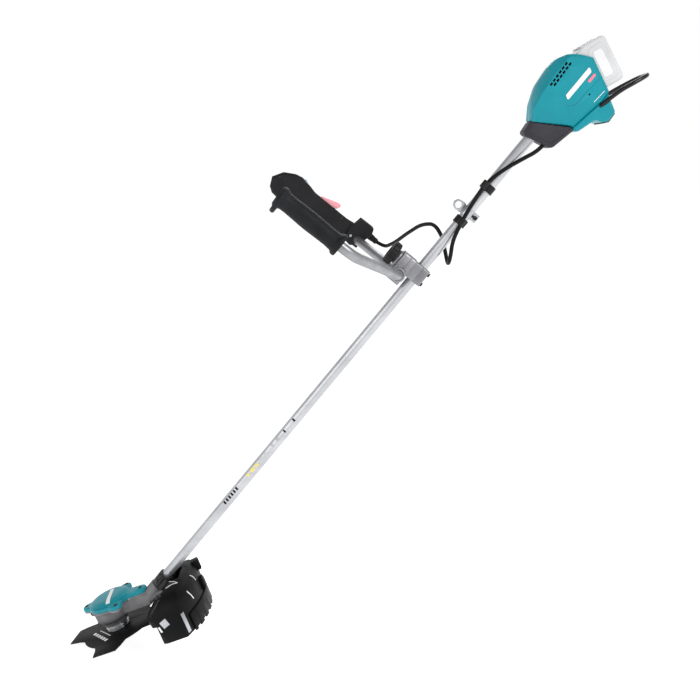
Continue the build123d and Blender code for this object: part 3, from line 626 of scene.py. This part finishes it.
def housing_shell(name, side, node):
    """One teal shell with its vents, panel line and slot, open at the split, the battery and the pipe."""
    piece = loft(name, even_drops(shell_side(SHELL, side)), SHAFT, start=False)
    hollow(piece, SHELL_WALL)
    tools = vent_slots(side)
    tools.append(groove("panel_line", PANEL_LINE, 1.3, 1.6, side))
    tools.append(box("slot", (513.5, 518.5), sorted((side * 40, side * 50)), (-33.5, -30.5), SHAFT))
    tools.append(battery_bay(40.0))
    tools.append(rod("pipe_hole", (380, 0, 0), (480, 0, 0), PIPE_R + PIPE_ROOM, SHAFT))
    cut(piece, *tools)
    broken_edges(piece, 0.7, 28.0)
    show(piece, "frame", "teal", [node])


BOOT = [
    (371, 21.5, 7, 380, 14.5, 5, 6),
    (400, 24.6, 3, 403, 17.5, 4, 6),
    (445, -51.4, 3, 442.5, -47, 4, 5),
    (439, -57, 6, 436.5, -50.5, 5, 6),
    (386, -47, 10, 393, -39.5, 7, 7),
]


def nose_boot():
    """Rubber boot round the pipe and the cable, its front rim thick and rounded."""
    left = even_drops(shell_side(BOOT, -1, 0.7, 0.0))
    right = even_drops(shell_side(BOOT, 1, 0.7, 0.0))
    rings = list(reversed(left)) + right[1:]
    piece = loft("nose_boot_skin", rings, SHAFT)
    tools = [rod("pipe_hole", (360, 0, 0), (470, 0, 0), PIPE_R + PIPE_ROOM, SHAFT),
             rod("cable_hole", (352, -19.0, -25.6), (400, -13.3, -33.2), 5.2, SHAFT)]
    cut(piece, *tools)
    broken_edges(piece, 2.2, 26.0, 4)
    show(piece, "frame", "boot", ["nose_boot"])


COVER = [(446.2, -51.6, 2), (440, -58, 7), (447, -66, 8), (488, -78, 14), (493, -93, 8), (503, -101.5, 6),
         (526, -100, 9), (536, -79, 12), (545, -61.8, 2), (522, -62.8, 8)]
LOOP_HOLES = [((505, 33.6, -65.8), (538, 40, -71.5)), ((536, 39.7, -71.0), (566, 44, -78))]
LOOP_HOLE_R = 5.2
FOOT_PAD = [(494, -93.5, 1), (503.5, -101, 3), (525, -99.7, 2), (524, -102.2, 1), (503, -104, 3),
            (491.5, -95, 1)]


def base_cover():
    """Teal cover under the rear end, with the foot that the machine rests on."""
    piece = moulded("base_cover_skin", COVER, (-40.0, 40.0), 5.0, SHAFT)
    tools = [battery_bay(80.0)]
    for side in (-1, 1):
        for (x0, y0, z0), (x1, y1, z1) in LOOP_HOLES:
            tools.append(rod("loop_hole", (x0, side * y0, z0), (x1, side * y1, z1), LOOP_HOLE_R, SHAFT))
    for i in range(3):
        recess = (503.5 + 7 * i, 508.0 + 7 * i)
        tools.append(box("foot_recess", recess, (-30.0, 30.0), (-108.0, -98.5), SHAFT))
    cut(piece, *tools)
    broken_edges(piece, 0.8, 30.0)
    show(piece, "frame", "teal", ["housing_base_cover"])
    show(moulded("foot_pad", FOOT_PAD, (-33.0, 33.0), 0.8, SHAFT), "frame", "boot")


SIDE_MARKS = {  # look, outline
    "side_bar": ("mark", [(479, -5, 2), (552, -5, 2), (557, 5, 2), (484, 5, 2)]),
    "side_pill": ("pink", [(533, -17, 3), (554, -17, 3), (554, -11, 3), (533, -11, 3)]),
    "side_line": ("mark", [(510, -50.4, 0.5), (541, -52.4, 0.5), (541, -51.2, 0.5), (510, -49.2, 0.5)]),
}


def side_mark(name, tag, y):
    """One plain printed shape on a side face."""
    look, outline = SIDE_MARKS[name]
    show(moulded(f"{name}_{tag}", outline, y, 0.1, SHAFT), "frame", look)


def side_marks():
    """Prints on both sides, in place of lettering, and near-black sheets behind the vents: painted shade that
    makes the slots look dark inside.
    """
    for side, tag in ((-1, "left"), (1, "right")):
        y = sorted((side * (HOUSING_HALF - 0.4), side * (HOUSING_HALF + 0.12)))
        side_mark("side_bar", tag, y)
        side_mark("side_pill", tag, y)
        # near-black sheet just inside the vents: painted shade for the slots' dark insides, not a real part
        shade_sheet = box(f"vent_shade_sheet_{tag}", (474, 545), sorted((side * 35.0, side * 36.0)), (30, 49), SHAFT)
        show(shade_sheet, "frame", "cable")
        side_mark("side_line", tag, y)


housing_shell("housing_left_skin", -1, "housing_left_shell")
housing_shell("housing_right_skin", 1, "housing_right_shell")
nose_boot()
base_cover()
side_marks()


PACK_CASE = [(0, -PACK_LONG, 3), (PACK_THICK, -PACK_LONG, 10), (PACK_THICK, 0, 10), (20, 0, 8), (0, -9, 8)]
PACK_PANEL = [(19, -88, 5), (60, -88, 5), (60, -12, 7), (27, -12, 10), (19, -24, 8)]
PACK_INSET = [(30, -80, 4), (51, -80, 4), (51, -22, 6), (30, -22, 6)]


def raised_panel(name, outline, side, rise, edge, look):
    """Panel that stands out of one side of the battery."""
    y = sorted((side * (PACK_HALF - 0.6), side * (PACK_HALF + rise)))
    show(moulded(name, outline, y, edge, PACK), "battery", look)


def battery():
    """The battery's case, with a raised panel and step on each side and ribs on its top."""
    case = moulded("battery_case_skin", PACK_CASE, (-PACK_HALF, PACK_HALF), 5.0, PACK)
    smooth(case, 40.0)
    show(case, "battery", "pack", ["battery_case"])
    for side, tag in ((-1, "left"), (1, "right")):
        raised_panel(f"battery_panel_{tag}", PACK_PANEL, side, 1.1, 0.9, "pack")
        raised_panel(f"battery_inset_{tag}", PACK_INSET, side, 1.8, 0.8, "pale_pack")
    for i in range(4):
        rib = box(f"battery_rib_{i}", (14.0 + 11 * i, 17.0 + 11 * i), (-26.0, 26.0), (-1.0, 1.2), PACK)
        broken_edges(rib, 0.5)
        show(rib, "battery", "pack")


battery()


# ---------------------------------------------------------------- cutter head
CAP_CENTRE, CAP_R, EAR_TIP = 8.0, 51.0, 69.5
EARS = (60.0, 180.0, 300.0)
LOBE_X, LOBE_R = 78.0, 17.0
CAP_LEVELS = [(65.2, 0.7, 0.0), (65.9, 0.0, 0.0), (72.4, 0.0, 0.0), (74.2, 0.9, 0.0), (75.2, 3.0, 0.0),
              (75.8, 4.5, 0.5), (76.6, 2.2, 1.0), (79.2, 4.6, 1.0), (81.8, 10.0, 1.0), (83.6, 17.5, 1.0),
              (84.3, 24.0, 1.0), (84.4, 36.0, 1.0), (84.4, 48.0, 1.0)]     # height, drop, roundness
FLANGE_LEVELS = [(61.4, 1.8), (62.0, 0.8), (64.6, 0.8), (65.0, 1.4)]    # height, drop
LOBE_SCREW = (88.0, 0.0)
EAR_SCREW_IN = 8.5                   # of an ear's screw from the ear's tip
SCREW_SEAT_R = 5.3
CAP_STEPS = 180                      # of the outlines round the head


def cap_radius(angle):
    """Outline of the motor cap: a disc that swells into three ears and runs out into the rear lobe."""
    ears = 0.0
    for ear in EARS:
        off = (angle - ear + 180.0) % 360.0 - 180.0
        ears = max(ears, (EAR_TIP - CAP_R) * math.exp(-(off / 15.0) ** 4 * 0.5 - (off / 27.0) ** 2))
    sine, cosine = math.sin(math.radians(angle)), math.cos(math.radians(angle))
    lobe = 0.0
    if cosine > 0.0 and abs(LOBE_X * sine) < LOBE_R:
        lobe = LOBE_X * cosine + math.sqrt(LOBE_R ** 2 - (LOBE_X * sine) ** 2)
    elif cosine > 0.0:
        lobe = LOBE_R / abs(sine)
    return ((CAP_R + ears) ** 14 + lobe ** 14) ** (1.0 / 14.0)


def cap_ring(z, drop, dome=0.0):
    """The cap's outline at a height, in by a drop, blended to a circle by dome."""
    ring = []
    for i in range(CAP_STEPS):
        angle = 360.0 / CAP_STEPS * i
        r = (cap_radius(angle) * (1.0 - dome) + CAP_R * dome) - drop
        a = math.radians(angle)
        ring.append((CAP_CENTRE + r * math.cos(a), r * math.sin(a), z))
    return ring


def socket_room():
    """Cutter of the room round the case's pipe socket."""
    return rod("socket", (-1035, 0, 0), (-960, 0, 0), 18.4, SHAFT)


def motor_cap():
    """Teal cap with blended ears, a dome and screw recesses, cut away round the pipe socket."""
    piece = loft("motor_cap_skin", [cap_ring(*level) for level in CAP_LEVELS], HEAD)
    reach = EAR_TIP - EAR_SCREW_IN
    seats = []
    for a in map(math.radians, EARS):
        seats.append((CAP_CENTRE + reach * math.cos(a), reach * math.sin(a)))
    tools = [rod("seat", (x, y, 71.5), (x, y, 90.0), SCREW_SEAT_R, HEAD) for x, y in seats + [LOBE_SCREW]]
    cut(piece, *tools, socket_room())
    smooth(piece, 38.0)
    return show(piece, "frame", "teal", ["motor_cap"])


PRINT_LIFT = 0.35                    # of a print above its surface
PRINT_STEP, PRINT_COLUMNS = 2.5, 4   # size of a print's faces along a stroke, faces across it
BAR_X, BAR_Z = -28.0, 34.0           # the bar's axis in the handle clamp
HANDLE_Y = 240.0                     # middle plane of the trigger handle


def printed(name, strokes, width, place, reach, target, body, look):
    """Print laid onto a target along a place's Z: each stroke runs from point to point, width across."""
    tree = BVHTree.FromObject(target, bpy.context.evaluated_depsgraph_get())
    down = -(place.to_3x3() @ Vector((0.0, 0.0, 1.0))).normalized()
    points, faces = [], []
    for a, b in strokes:
        a, b = Vector(a), Vector(b)
        across = Vector((a.y - b.y, b.x - a.x)).normalized() * width
        along = max(2, int((b - a).length / PRINT_STEP))
        first = len(points)
        row = PRINT_COLUMNS + 1
        for i in range(along + 1):
            for j in range(row):
                at = a.lerp(b, i / along) + across * (j / PRINT_COLUMNS - 0.5)
                hit, normal, _, _ = tree.ray_cast(place @ Vector((at.x, at.y, reach)), down)
                points.append(hit + normal * PRINT_LIFT * MM)
        for i in range(along):
            for j in range(PRINT_COLUMNS):
                k = first + i * row + j
                faces.append((k, k + 1, k + row + 1, k + row))
    mesh = bpy.data.meshes.new(name)
    mesh.from_pydata(points, [], faces)
    if mesh.polygons[0].normal.dot(down) > 0.0:
        mesh.flip_normals()
    mesh.shade_smooth()
    return show(link(bpy.data.objects.new(name, mesh)), body, look)


def guard():
    """The guard's shell, its front corners cut back from the case, with its prints."""
    piece = copy_of("guard_shell")
    relief = [(80, 30), (119, 30), (168, 79), (168, 100), (80, 100)]
    cut(piece, prism("relief", relief, (-130, 130), HEAD))
    broken_edges(piece, 1.2)
    show(piece, "frame", "guard", ["guard_shell"])
    above = (HEAD, 120.0)
    side = (HEAD @ Matrix.Rotation(math.pi / 2, 4, "X"), 200.0)
    rear = (HEAD @ Matrix(((0, 0, 1), (1, 0, 0), (0, 1, 0))).to_4x4(), 300.0)
    prints = (("guard_arrow", [((172, -34), (197, -51)), ((197, -51), (170, -62))], 2.6, above, "mark"),
              ("guard_bars", [((-64, 53), (-56, 27)), ((-9, 66), (-7, 49))], 3.0, rear, "mark"),
              ("guard_label", [((146, 14.5), (162, 20.5))], 17.0, side, "label"),
              ("guard_tag", [((137.5, 14), (141, 0))], 5.0, side, "mark"))
    for name, strokes, width, (place, reach), look in prints:
        printed(name, strokes, width, place, reach, piece, "frame", look)


BLADE_PRINTS = (("blade_bold", (-65, 0), (-12, -62), 8.0, 6), ("blade_fine", (-51, 6), (-10, -41), 3.0, 7))
DASH = 0.72                          # of each part of a broken line


def blade():
    """The blade, with two broken lines of print in place of lettering."""
    piece = refine("blade", "blade", 0.35)
    for name, start, finish, width, count in BLADE_PRINTS:
        a, b = Vector(start), Vector(finish)
        dashes = []
        for i in range(count):
            dashes.append((tuple(a.lerp(b, i / count)), tuple(a.lerp(b, (i + DASH) / count))))
        printed(name, dashes, width, HEAD, 20.0, piece, "cutter", "mark")


def knob_collar():
    """Cast collar under the clamp knob."""
    piece = turned("knob_collar", [(19, 52.3), (19, 57), (15, 62.4)], SHAFT)
    cut(piece, rod("knob_hub", (0, 0, 50), (0, 0, 66), 12.4, SHAFT))
    broken_edges(piece, 0.8)
    show(piece, "handle", "cast")


def bar_bosses():
    """Round collars of the handle clamp where the bar comes out of it."""
    for side, tag in ((-1, "left"), (1, "right")):
        inner, outer, past = side * 24.5, side * 29.5, side * 35
        piece = rod(f"bar_boss_{tag}", (BAR_X, inner, BAR_Z), (BAR_X, outer, BAR_Z), 16.5, SHAFT, 48)
        cut(piece, rod("bar_hole", (BAR_X, side * 20, BAR_Z), (BAR_X, past, BAR_Z), 11.4, SHAFT, 48))
        broken_edges(piece, 1.2)
        show(piece, "handle", "cast")


FOOT = [(-59, 166, 4), (-22, 171, 10), (7.5, 160, 9), (8, 123, 7), (-8, 117, 6), (-46, 127, 8), (-62, 144, 7)]
FOOT_NEAR, FOOT_FAR = HANDLE_Y - 28, HANDLE_Y + 16.9
SLEEVE_X = -15
SLEEVE = [(5.6, 95), (7.0, 96), (7.4, 104), (6.2, 104.6), (6.2, 106.2), (7.9, 107), (8.3, 113), (7.0, 113.6),
          (7.0, 115.2), (8.6, 116), (8.6, 124)]


def trigger_foot():
    """Rounded lower block of the trigger handle, its screw and the cable's ribbed sleeve."""
    block = moulded("trigger_foot", FOOT, (FOOT_NEAR, FOOT_FAR), 3.5, SHAFT)
    smooth(block, 40.0)
    show(block, "handle", "black")
    screw = rod("trigger_foot_screw", (-42, FOOT_NEAR - 1.4, 157), (-42, FOOT_NEAR + 2, 157), 3.3, SHAFT)
    cut(screw, box("drive", (-44, -40), (FOOT_NEAR - 2, FOOT_NEAR - 0.4), (156.5, 157.5), SHAFT))
    broken_edges(screw, 0.5)
    show(screw, "handle", "plated")
    piece = turned("cable_sleeve", SLEEVE, SHAFT @ Matrix.Translation((SLEEVE_X, HANDLE_Y, 0)), 48)
    broken_edges(piece, 0.4)
    show(piece, "handle", "cable")


def case_flange():
    """Bright machined rim of the motor case under the cap."""
    piece = loft("case_flange", [cap_ring(*level) for level in FLANGE_LEVELS], HEAD)
    cut(piece, socket_room(), rod("room", (0, 0, 50), (0, 0, 70), 40.0, HEAD, 72))
    smooth(piece, 38.0)
    show(piece, "frame", "cast")


def housing_screws():
    """The shells' screws, whose tips end inside the near shell."""
    piece = cut(copy_of("housing_screws"), box("tips", (380, 600), (-70, -26), (-120, 120), SHAFT))
    broken_edges(piece, 0.3)
    show(piece, "frame", "fastener", ["housing_screws"])


guard()
blade()
knob_collar()
bar_bosses()
trigger_foot()
case_flange()
housing_screws()
cap = motor_cap()
printed("cap_stripe", [((18.0, -43.0), (12.0, 27.0))], 10.0, HEAD, 120.0, cap, "frame", "mark")

# ---------------------------------------------------------------- the other nodes
# REFINED gives the width of the broken edges; CARRIED nodes keep their CAD shape.
REFINED = {
    "cast": {"pipe_clamp_lower": 1.6, "pipe_clamp_upper": 1.6, "handle_saddle": 1.6, "handle_clamp_cap": 2.0},
    "case": {"motor_case": 0.8},
    "coat": {"guard_bracket": 1.2, "guard_bracket_cap": 1.2},
    "guard": {"guard_extension": 0.7, "guard_clips": 0.9},
    "black": {"clamp_knob": 1.0, "cable_clip_front": 0.8, "cable_clip_rear": 0.8, "trigger_housing_left": 1.2,
              "trigger_housing_right": 1.2, "trigger": 1.0},
    "grip": {"left_grip": 0.8},
    "red": {"lock_off_lever": 0.8},
    "pale": {"power_button": 0.5},
    "pack": {"battery_release_button": 0.8},
    "plated": {"hanger_plate": 0.6, "hanger_band": 0.6, "receiver_washer": 0.3, "cord_cutter": 0.3,
               "blade_cup": 0.4, "clamp_washer": 0.4},
    "fastener": {"head_screws": 0.35, "guard_bolts": 0.35, "hanger_screw": 0.35, "clamp_bolts": 0.35,
                 "saddle_screws": 0.35, "handle_screws": 0.3, "blade_nut": 0.4},
}
CARRIED = {
    "pipe": ["main_pipe"],
    "bar": ["handlebar"],
    "cable": ["cable_strain_relief", "motor_lead", "lead_spacers"],
    "coat": ["rear_guard_loop"],
    "black": ["terminal_block", "trigger_switch"],
    "cast": ["controller_module"],
    "fastener": ["lever_pins"],
    "plated": ["spindle", "spindle_bearings", "rotor_magnets"],
    "core": ["stator_core", "rotor_core"],
    "wrap": ["battery_cells"],
    "copper": ["stator_coils", "battery_contacts"],
}
for look, widths in REFINED.items():
    for node, width in widths.items():
        refine(node, look, width)
for look, nodes in CARRIED.items():
    for node in nodes:
        carry(node, look)


def control_cable():
    """The cable in its CAD shape, smooth shaded and left outside the bodies; in the machine it gives between its
    front clip and the trigger handle when the handle turns.
    """
    piece = copy_of("control_cable")
    smooth(piece)
    piece.data.materials.append(MATERIALS["cable"])
    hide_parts("control_cable")
    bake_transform(piece)


PIPE_PRINTS = [("amber", -612, 7), ("amber", -598, 12), ("amber", -582, 9), ("label", -566, 12),
               ("label", -548, 8), ("label", -520, 6), ("label", -502, 9), ("guard", -474, 4),
               ("guard", -440, 5)]                  # look, front end's X and length
PIPE_PRINTS += [("guard", -700 + 9 * i, 5) for i in range(6)]
PRINT_ARC = [math.radians(180 + 5 * k) for k in range(9)]


def pipe_ring(x):
    """Section of a print at X: an arc just above the pipe's surface and one below it."""
    ring = []
    for r, arc in ((PIPE_R + 0.12, PRINT_ARC), (PIPE_R * 0.98, reversed(PRINT_ARC))):
        ring += [(x, r * math.cos(a), -r * math.sin(a)) for a in arc]
    return ring


def pipe_label():
    """Small amber, grey and black prints along the pipe, in place of a label."""
    for i, (look, x, length) in enumerate(PIPE_PRINTS):
        piece = loft(f"pipe_print_{i}", [pipe_ring(x), pipe_ring(x + length)], SHAFT)
        show(smooth(piece), "frame", look)


control_cable()
pipe_label()


# ---------------------------------------------------------------- floor, light and camera
FLOOR_REACH = 30.0
FLOOR_TONES = [(0.3, (0.55, 0.55, 0.55)), (0.7, (0.57, 0.57, 0.57))]
FLOOR_GLOW = 0.86
LIGHT_TARGET = Vector((-0.2, 0.0, -0.35))
LIGHTS = {  # place, size and power
    "key": ((2.4, -2.4, 2.2), 2.0, 84.0),
    "fill": ((-2.6, -2.2, 0.8), 2.4, 24.0),
    "rim": ((0.4, 2.4, 2.0), 1.8, 26.0),
}
SKY = ((0.3, (1.0, 1.0, 1.0, 1.0)), (0.6, (0.42, 0.42, 0.43, 1.0)))     # from the horizon up
SKY_SIDE = (0.35, 0.75, 0.88)        # Y where the far side's white begins and is full, strength elsewhere
CAMERA_PLACE = (-0.2378, -1.9333, 0.0872)
CAMERA_DOWN = 12.07
LENS, SENSOR = 44.77, 36.0


def floor():
    """Pale floor under the machine's lowest point."""
    low = cad_box[0].z
    corners = [(x * FLOOR_REACH, y * FLOOR_REACH, low) for x, y in ((-1, -1), (1, -1), (1, 1), (-1, 1))]
    piece = solid("floor", corners, [(0, 1, 2, 3)], Matrix.Identity(4))
    paint = Finish("floor_paint", specular=0.0)
    paint.color(paint.ramp(paint.noise(0.8), FLOOR_TONES))
    paint.shader.inputs["Emission Color"].default_value = (1.0, 1.0, 1.0, 1.0)
    paint.shader.inputs["Emission Strength"].default_value = FLOOR_GLOW
    piece.data.materials.append(paint.material)


def lamps():
    """Three large soft lights, turned to the middle of the machine."""
    for name, (place, size, power) in LIGHTS.items():
        light = bpy.data.lights.new(name, "AREA")
        light.size = size
        light.energy = power
        lamp = link(bpy.data.objects.new(name, light))
        lamp.location = place
        lamp.rotation_euler = (LIGHT_TARGET - Vector(place)).to_track_quat("-Z", "Y").to_euler()


def surround():
    """White round the horizon and grey overhead, so that the backdrop is plain and tops still have shape."""
    world = bpy.data.worlds.new("surround")
    world.use_nodes = True
    tree = world.node_tree
    way = tree.nodes.new("ShaderNodeTexCoord")
    parts = tree.nodes.new("ShaderNodeSeparateXYZ")
    ramp = tree.nodes.new("ShaderNodeValToRGB")
    for element, (position, color) in zip(ramp.color_ramp.elements, SKY):
        element.position = position
        element.color = color
    sides = tree.nodes.new("ShaderNodeMapRange")
    for socket, value in zip(("From Min", "From Max", "To Min"), SKY_SIDE):
        sides.inputs[socket].default_value = value
    tree.links.new(way.outputs["Generated"], parts.inputs["Vector"])
    tree.links.new(parts.outputs["Z"], ramp.inputs["Fac"])
    tree.links.new(parts.outputs["Y"], sides.inputs["Value"])
    tree.links.new(sides.outputs["Result"], tree.nodes["Background"].inputs["Strength"])
    tree.links.new(ramp.outputs["Color"], tree.nodes["Background"].inputs["Color"])
    bpy.context.scene.world = world
    bpy.context.scene.view_settings.view_transform = "Standard"


def camera():
    """Camera on the machine's left side, looking slightly down on it."""
    view = bpy.data.cameras.new("camera")
    view.lens = LENS
    view.sensor_width = SENSOR
    view.clip_end = 100.0
    eye = link(bpy.data.objects.new("camera", view))
    eye.location = CAMERA_PLACE
    eye.rotation_euler = (math.radians(90.0 - CAMERA_DOWN), 0.0, 0.0)
    bpy.context.scene.camera = eye


floor()
surround()
lamps()
camera()
